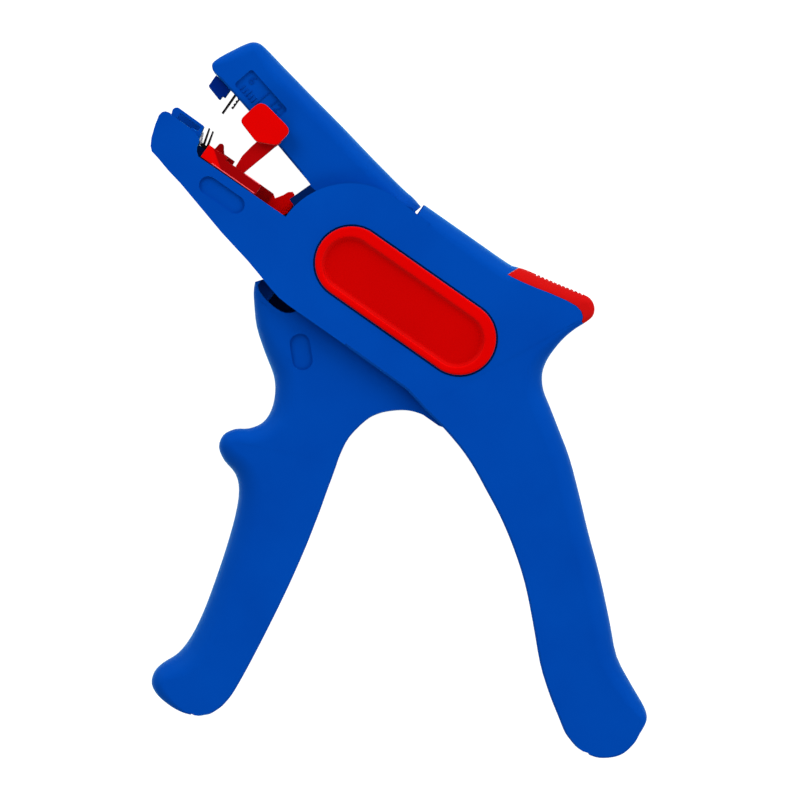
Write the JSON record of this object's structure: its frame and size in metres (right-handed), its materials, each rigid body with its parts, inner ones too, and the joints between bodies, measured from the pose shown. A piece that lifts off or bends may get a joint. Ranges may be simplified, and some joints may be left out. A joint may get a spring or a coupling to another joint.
{
  "type": "automatic wire stripper",
  "caption": "Self-adjusting wire stripper with a swinging jaw, drawn blades, a sliding length stop and a trigger handle.",
  "frame": {"origin": "centre of the jaw pivot at the resting side, on the back oval plate's flat panel", "axes": "+X back along the body, +Y up and away from the handles, +Z out of the resting side towards the front"},
  "size_m": [0.1795, 0.1424, 0.0205],
  "materials": {
    "blue_plastic": "satin",
    "navy_plastic": "satin",
    "red_plastic": "satin",
    "steel": "ground",
    "black_steel": "blackened"
  },
  "bodies": {
    "body": {"body_frame": "blue_plastic", "front_oval_plate": "red_plastic", "rear_oval_plate": "red_plastic", "thumb_rest": "red_plastic", "jaw_pin": "steel", "trigger_pin": "steel", "lower_clamp_pad": "blue_plastic", "spring_post": "steel", "handle_spring": "steel", "return_spring": "steel"},
    "upper_jaw": {"upper_jaw": "blue_plastic", "upper_clamp_pad": "navy_plastic", "jaw_bush": "steel", "heel_pin": "steel"},
    "link": {"closing_link": "steel"},
    "upper_carrier": {"upper_blade_holder": "steel", "upper_blades": "black_steel", "upper_blade_pin": "steel", "upper_pull_strips": "steel", "holder_rivet": "steel"},
    "carriage": {"lower_carriage": "red_plastic", "lower_blades": "steel", "lower_blade_pin": "steel", "drawbar": "steel", "drawbar_rivets": "steel", "cross_pin": "steel"},
    "length_stop": {"length_stop": "red_plastic"},
    "trigger": {"trigger_handle": "blue_plastic", "trigger_bush": "steel", "drive_pin": "steel", "drive_roller": "steel", "link_pin": "steel"}
  },
  "joints": [
    {"name": "handle_squeeze", "type": "hinge", "parent": "body", "child": "trigger", "pos_m": [0.032, 0.004, 0.01], "axis": [0, 0, 1], "range_deg": [0, 28], "stiffness_Nm_per_rad": 0.6, "springref_deg": -11.46, "deforming": ["handle_spring"]},
    {"name": "jaw_close", "type": "hinge", "parent": "body", "child": "upper_jaw", "pos_m": [0, 0, 0.01], "axis": [0, 0, 1], "range_deg": [0, 11.61]},
    {"name": "link_swing", "type": "hinge", "parent": "upper_jaw", "child": "link", "pos_m": [0.00471, 0.01622, 0.01], "axis": [0, 0, 1], "range_deg": [-11.61, 0]},
    {"name": "upper_slide", "type": "slide", "parent": "upper_jaw", "child": "upper_carrier", "axis": [0.965, -0.2622, 0], "range_m": [0, 0.00735]},
    {"name": "lower_slide", "type": "slide", "parent": "body", "child": "carriage", "axis": [1, 0, 0], "range_m": [0, 0.0087], "deforming": ["return_spring"]},
    {"name": "length_stop_slide", "type": "slide", "parent": "carriage", "child": "length_stop", "axis": [1, 0, 0], "range_m": [-0.006, 0]}
  ],
  "couplings": [
    {"joint": "jaw_close", "follows": "handle_squeeze", "ratio": 0.4143},
    {"joint": "link_swing", "follows": "handle_squeeze", "ratio": -0.4143},
    {"joint": "upper_slide", "follows": "handle_squeeze", "m_per_rad": 0.015},
    {"joint": "lower_slide", "follows": "handle_squeeze", "m_per_rad": 0.01777}
  ]
}
